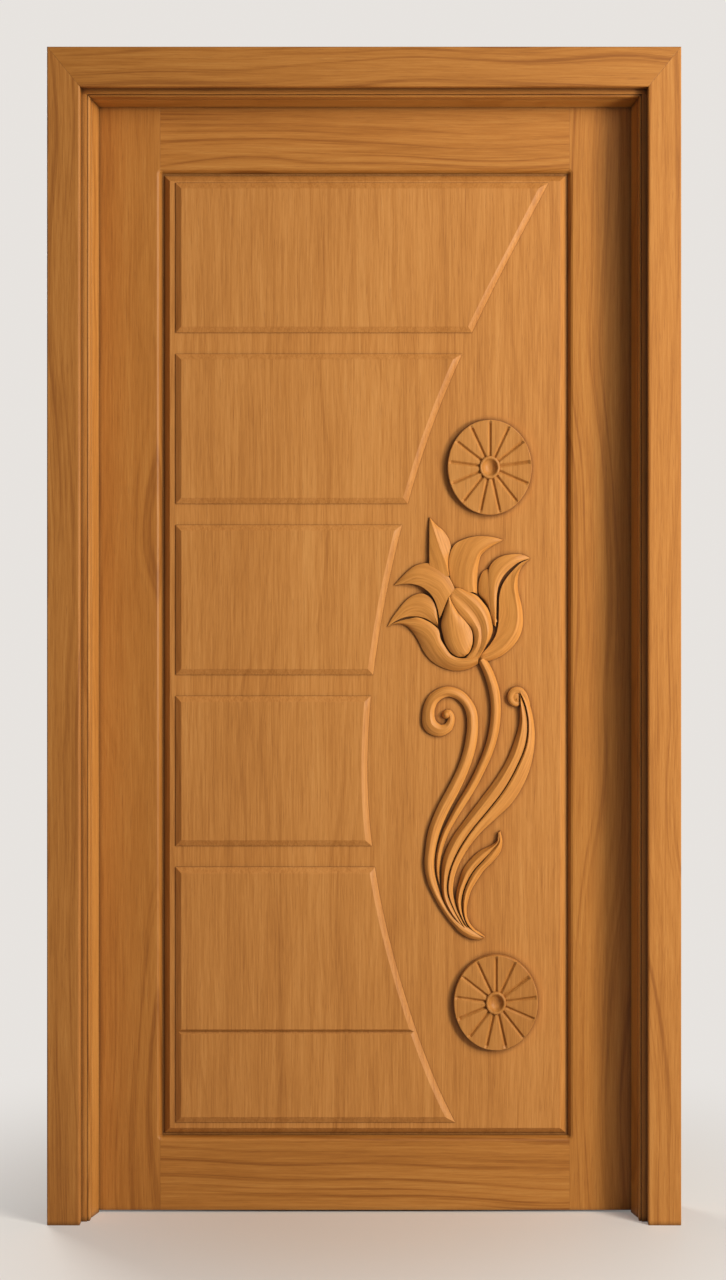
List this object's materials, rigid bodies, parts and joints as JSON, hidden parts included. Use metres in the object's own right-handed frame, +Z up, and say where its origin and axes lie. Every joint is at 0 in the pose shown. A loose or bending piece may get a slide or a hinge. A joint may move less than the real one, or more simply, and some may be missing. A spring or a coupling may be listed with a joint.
{
  "type": "carved entrance door with frame",
  "caption": "Single hinged wooden entrance door in its moulded frame, the leaf carved with bevelled fields, fluted rosettes and a tulip with scroll stems.",
  "frame": {"origin": "bottom centre of the whole set: floor level, midway between the casings' outer edges and midway between the front and rear casing faces", "axes": "+Z up, front with the carving faces -Y, +X to the right seen from the front"},
  "size_m": [1.184, 0.156, 2.2],
  "materials": {
    "casing_wood": "satin varnish",
    "lining_wood": "satin varnish",
    "leaf_wood": "satin varnish",
    "board_wood": "satin varnish",
    "carving_wood": "satin varnish",
    "hinge_steel": "brushed"
  },
  "bodies": {
    "frame": {"jamb_left": "lining_wood", "jamb_right": "lining_wood", "jamb_head": "lining_wood", "stop_left": "lining_wood", "stop_right": "lining_wood", "stop_head": "lining_wood", "front_casing_left": "casing_wood", "front_casing_right": "casing_wood", "front_casing_head": "casing_wood", "rear_casing_left": "casing_wood", "rear_casing_right": "casing_wood", "rear_casing_head": "casing_wood", "hinge_top_frame_plate": "hinge_steel", "hinge_middle_frame_plate": "hinge_steel", "hinge_bottom_frame_plate": "hinge_steel"},
    "leaf": {"stile_hinge": "leaf_wood", "stile_opening": "leaf_wood", "rail_top": "leaf_wood", "rail_bottom": "leaf_wood", "board": "board_wood", "raised_field_1": "board_wood", "raised_field_2": "board_wood", "raised_field_3": "board_wood", "raised_field_4": "board_wood", "raised_field_5": "board_wood", "rosette_upper": "carving_wood", "rosette_lower": "carving_wood", "tulip_bloom": "carving_wood", "scroll_stems": "carving_wood", "hinge_top_leaf_plate": "hinge_steel", "hinge_middle_leaf_plate": "hinge_steel", "hinge_bottom_leaf_plate": "hinge_steel"}
  },
  "joints": [
    {"name": "leaf_hinge", "type": "hinge", "parent": "frame", "child": "leaf", "pos_m": [-0.5191, 0.0648, 1.05], "axis": [0, 0, 1], "range_deg": [0, 110]}
  ]
}
